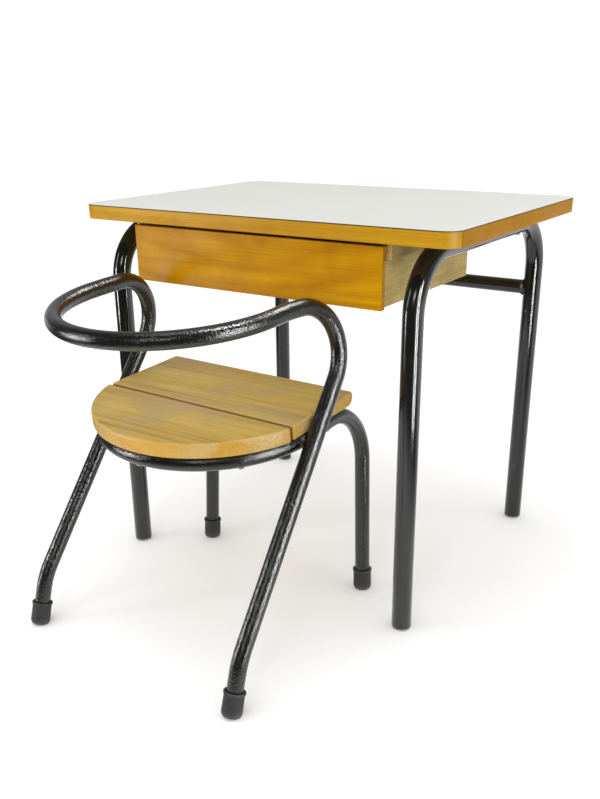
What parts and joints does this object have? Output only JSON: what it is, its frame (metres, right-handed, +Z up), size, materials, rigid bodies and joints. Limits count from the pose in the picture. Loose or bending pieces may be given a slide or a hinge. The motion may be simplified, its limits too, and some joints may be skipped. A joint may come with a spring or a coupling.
{
  "type": "child's school desk and chair",
  "caption": "Small school desk with a white top, bent black tube legs and a wooden drawer, with a tube-frame armchair with a round-backed wooden seat pushed up to it.",
  "frame": {"origin": "middle of the set's bounding box in plan, on the floor", "axes": "+X to the right for someone sitting on the chair, +Y from the chair towards the back of the desk, +Z up"},
  "size_m": [0.6, 0.731, 0.544],
  "materials": {
    "white_laminate": "smooth white high-pressure laminate, satin sheen, fine scuffs",
    "raw_board": "unfinished wood-based board",
    "wood_lipping": "honey-coloured solid wood edging, clear lacquer, satin",
    "black_gloss_paint": "black gloss enamel on steel tube",
    "grey_glide": "grey plastic glide, matt",
    "screw_steel": "zinc-plated round-head screws",
    "raw_strip_wood": "planed unfinished softwood strip",
    "lacquered_front_wood": "honey-coloured wood front, clear lacquer, satin",
    "raw_drawer_wood": "planed unfinished wood",
    "black_chair_paint": "black enamel with a slight orange-peel texture on steel tube",
    "seat_beech": "lacquered hardwood seat boards, satin",
    "ferrule_rubber": "black rubber ferrules, matt"
  },
  "bodies": {
    "desk": {"desk_core_panel": "raw_board", "desk_frame_left": "black_gloss_paint", "desk_frame_right": "black_gloss_paint", "desk_glide_front_left": "grey_glide", "desk_glide_front_right": "grey_glide", "desk_glide_rear_left": "grey_glide", "desk_glide_rear_right": "grey_glide", "desk_laminate_sheet": "white_laminate", "drawer_runner_left": "raw_strip_wood", "drawer_runner_right": "raw_strip_wood", "frame_screw_front_left": "screw_steel", "frame_screw_front_right": "screw_steel", "frame_screw_rear_left": "screw_steel", "frame_screw_rear_right": "screw_steel", "lipping_front": "wood_lipping", "lipping_left": "wood_lipping", "lipping_rear": "wood_lipping", "lipping_right": "wood_lipping", "rear_stretcher": "black_gloss_paint", "runner_screw_front_left": "screw_steel", "runner_screw_front_right": "screw_steel", "runner_screw_rear_left": "screw_steel", "runner_screw_rear_right": "screw_steel"},
    "drawer": {"drawer_back": "raw_drawer_wood", "drawer_bottom": "raw_drawer_wood", "drawer_front": "lacquered_front_wood", "drawer_side_left": "raw_drawer_wood", "drawer_side_right": "raw_drawer_wood"},
    "chair": {"chair_arm_frame": "black_chair_paint", "chair_seat_frame": "black_chair_paint", "ferrule_front_left": "ferrule_rubber", "ferrule_front_right": "ferrule_rubber", "ferrule_rear_left": "ferrule_rubber", "ferrule_rear_right": "ferrule_rubber", "seat_board_front": "seat_beech", "seat_board_rear": "seat_beech", "seat_screw_rail_front_left": "screw_steel", "seat_screw_rail_front_right": "screw_steel", "seat_screw_rail_rear_left": "screw_steel", "seat_screw_rail_rear_right": "screw_steel", "seat_screw_ring_back": "screw_steel", "seat_screw_ring_left": "screw_steel", "seat_screw_ring_right": "screw_steel"}
  },
  "joints": [
    {"name": "chair_slide", "type": "slide", "parent": "desk", "child": "chair", "axis": [0, -1, 0], "range_m": [0, 0.27]},
    {"name": "drawer_slide", "type": "slide", "parent": "desk", "child": "drawer", "axis": [0, -1, 0], "range_m": [0, 0.19]}
  ],
  "couplings": [
    {"joint": "drawer_slide", "follows": "chair_slide", "ratio": 0.7}
  ]
}
